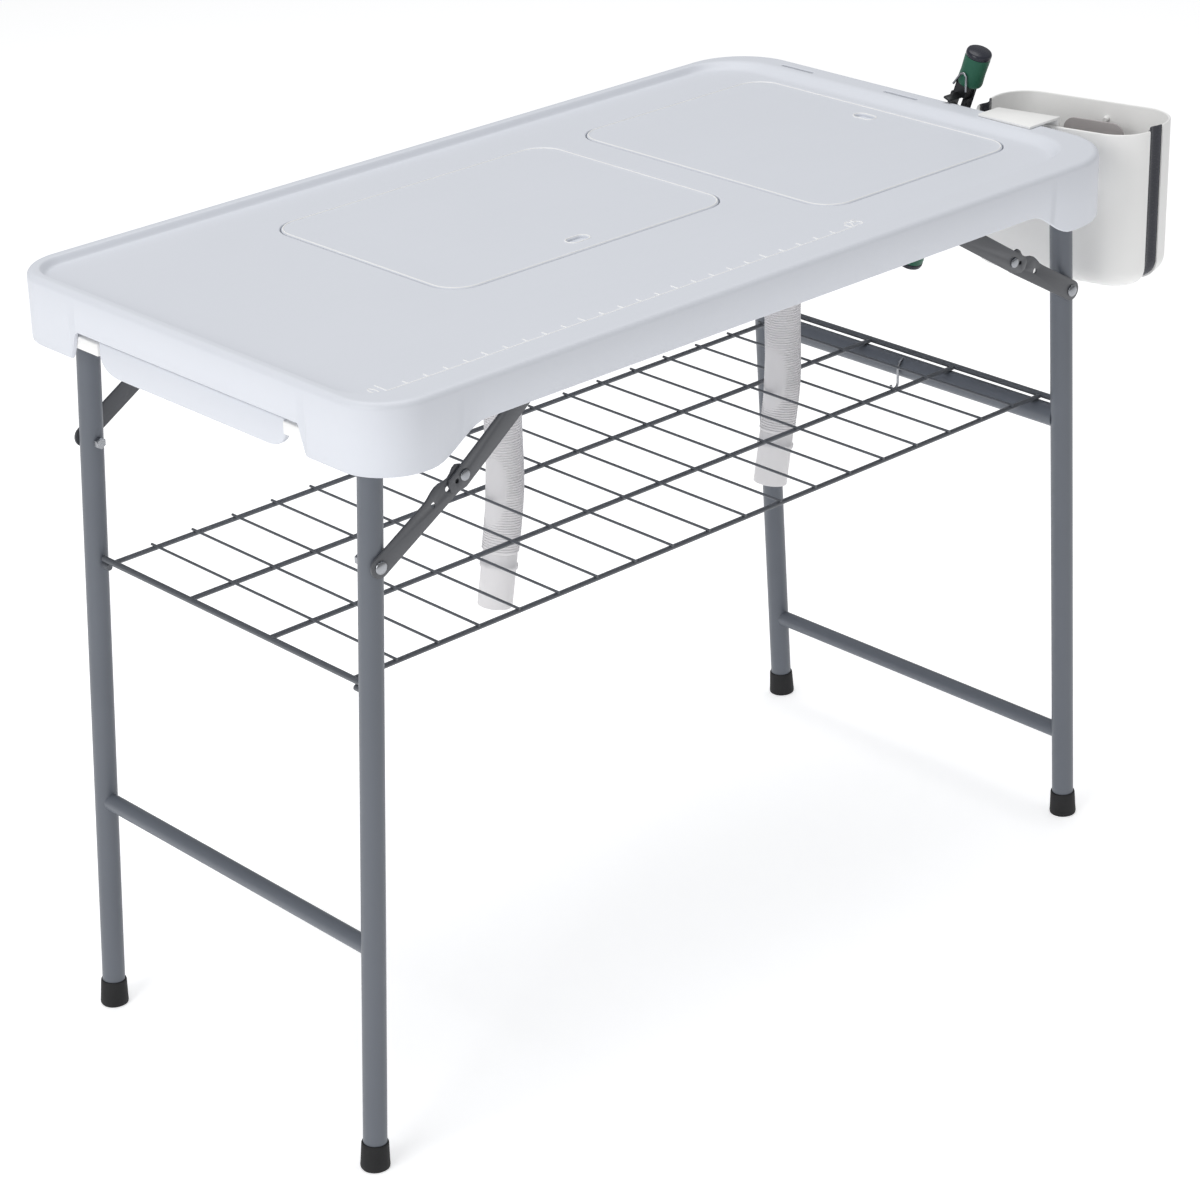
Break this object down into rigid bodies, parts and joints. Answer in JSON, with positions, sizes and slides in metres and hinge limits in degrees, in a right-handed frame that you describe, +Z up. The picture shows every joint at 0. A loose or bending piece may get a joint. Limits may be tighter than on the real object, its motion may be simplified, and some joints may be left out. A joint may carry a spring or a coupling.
{
  "type": "fish cleaning table",
  "caption": "Folding fish cleaning table with sinks under flush lids, drain hoses, a wire shelf, knife slots, a side bin and a clamp.",
  "frame": {"origin": "on the floor under the middle of the bounding box", "axes": "+X along the table towards the bin, +Z up, the front long side towards -Y"},
  "size_m": [1.2418, 0.6, 0.9172],
  "materials": {
    "white_plastic": "Off-white moulded plastic with a fine grain",
    "warm_plastic": "Warm white moulded plastic",
    "grey_plastic": "Light grey moulded plastic",
    "hose_plastic": "Light grey soft hose plastic",
    "grey_paint": "Slate grey powder coat",
    "dark_wire": "Dark grey coated wire",
    "zinc": "Plated steel",
    "black_rubber": "Black rubber",
    "slate_rubber": "Dark slate soft rubber",
    "black_steel": "Black coated steel",
    "green_grip": "Green soft grip"
  },
  "bodies": {
    "root": {"tabletop": "white_plastic", "left_sink_basin": "white_plastic", "right_sink_basin": "white_plastic", "left_drain_fitting": "grey_plastic", "right_drain_fitting": "grey_plastic", "left_drain_hose": "hose_plastic", "right_drain_hose": "hose_plastic", "left_hose_cuff": "hose_plastic", "right_hose_cuff": "hose_plastic", "back_handle_clip": "warm_plastic", "front_handle_clip": "warm_plastic", "front_rail": "grey_paint", "back_rail": "grey_paint", "clamp_upper_lever": "black_steel", "clamp_upper_grip": "green_grip", "clamp_pin": "zinc"},
    "left_frame": {"left_pivot_tube": "grey_paint", "left_spreader": "grey_paint", "left_front_leg": "grey_paint", "left_front_foot_cap": "black_rubber", "left_front_leg_bolt": "zinc", "left_back_leg": "grey_paint", "left_back_foot_cap": "black_rubber", "left_back_leg_bolt": "zinc", "front_shelf_pin": "dark_wire", "back_shelf_pin": "dark_wire"},
    "right_frame": {"right_pivot_tube": "grey_paint", "right_spreader": "grey_paint", "right_front_leg": "grey_paint", "right_front_foot_cap": "black_rubber", "right_front_leg_bolt": "zinc", "right_back_leg": "grey_paint", "right_back_foot_cap": "black_rubber", "right_back_leg_bolt": "zinc", "shelf_cross_tube": "grey_paint", "shelf_hook": "zinc"},
    "left_upper_braces": {"left_front_upper_link": "grey_paint", "left_back_upper_link": "grey_paint", "left_front_brace_rivet": "zinc", "left_back_brace_rivet": "zinc"},
    "left_lower_braces": {"left_front_lower_link": "grey_paint", "left_back_lower_link": "grey_paint"},
    "right_upper_braces": {"right_front_upper_link": "grey_paint", "right_back_upper_link": "grey_paint", "right_front_brace_rivet": "zinc", "right_back_brace_rivet": "zinc"},
    "right_lower_braces": {"right_front_lower_link": "grey_paint", "right_back_lower_link": "grey_paint"},
    "shelf": {"wire_shelf": "dark_wire"},
    "left_lid_body": {"left_lid": "white_plastic"},
    "right_lid_body": {"right_lid": "white_plastic"},
    "handle": {"carry_handle": "white_plastic"},
    "bin": {"bin_inner_half": "warm_plastic", "bin_bracket": "white_plastic", "bin_bellows": "slate_rubber"},
    "bin_outer": {"bin_outer_half": "warm_plastic", "bin_divider": "grey_plastic"},
    "clamp_lower": {"clamp_lower_lever": "black_steel", "clamp_lower_grip": "green_grip"}
  },
  "joints": [
    {"name": "left_leg_fold", "type": "hinge", "parent": "root", "child": "left_frame", "pos_m": [-0.56014, 0, 0.806], "axis": [0, -1, 0], "range_deg": [0, 42]},
    {"name": "right_leg_fold", "type": "hinge", "parent": "root", "child": "right_frame", "pos_m": [0.43386, 0, 0.806], "axis": [0, 1, 0], "range_deg": [0, 28]},
    {"name": "shelf_lift", "type": "slide", "parent": "root", "child": "shelf", "axis": [0, 0, 1], "range_m": [0, 0.03]},
    {"name": "left_upper_brace_turn", "type": "hinge", "parent": "root", "child": "left_upper_braces", "pos_m": [-0.34914, 0, 0.815], "axis": [0, -1, 0], "range_deg": [0, 53]},
    {"name": "left_lower_brace_turn", "type": "hinge", "parent": "left_frame", "child": "left_lower_braces", "pos_m": [-0.56774, 0, 0.67], "axis": [0, 1, 0], "range_deg": [0, 83.1]},
    {"name": "right_upper_brace_turn", "type": "hinge", "parent": "root", "child": "right_upper_braces", "pos_m": [0.22286, 0, 0.815], "axis": [0, 1, 0], "range_deg": [0, 41.1]},
    {"name": "right_lower_brace_turn", "type": "hinge", "parent": "right_frame", "child": "right_lower_braces", "pos_m": [0.44068, 0, 0.684], "axis": [0, -1, 0], "range_deg": [0, 62]},
    {"name": "left_lid_lift", "type": "slide", "parent": "root", "child": "left_lid_body", "axis": [0, 0, 1], "range_m": [0, 0.06]},
    {"name": "right_lid_lift", "type": "slide", "parent": "root", "child": "right_lid_body", "axis": [0, 0, 1], "range_m": [0, 0.06]},
    {"name": "handle_swing", "type": "hinge", "parent": "root", "child": "handle", "pos_m": [-0.59734, 0, 0.799], "axis": [0, 1, 0], "range_deg": [0, 80]},
    {"name": "bin_lift", "type": "slide", "parent": "root", "child": "bin", "axis": [0, 0, 1], "range_m": [0, 0.018]},
    {"name": "bin_collapse", "type": "slide", "parent": "bin", "child": "bin_outer", "axis": [-0.9744, -0.225, 0], "range_m": [0, 0.018], "stiffness_N_per_m": 120, "deforming": ["bin_bellows"]},
    {"name": "clamp_open", "type": "hinge", "parent": "root", "child": "clamp_lower", "pos_m": [0.48886, -0.033, 0.8335], "axis": [0, -0.9397, -0.342], "range_deg": [0, 25], "stiffness_Nm_per_rad": 1.5}
  ],
  "couplings": [
    {"joint": "right_leg_fold", "follows": "left_leg_fold", "ratio": 0.6666},
    {"joint": "shelf_lift", "follows": "left_leg_fold", "m_per_rad": 0.04092},
    {"joint": "left_upper_brace_turn", "follows": "left_leg_fold", "ratio": 1.2597},
    {"joint": "left_lower_brace_turn", "follows": "left_leg_fold", "ratio": 1.9766},
    {"joint": "right_upper_brace_turn", "follows": "left_leg_fold", "ratio": 0.9776},
    {"joint": "right_lower_brace_turn", "follows": "left_leg_fold", "ratio": 1.4762}
  ]
}
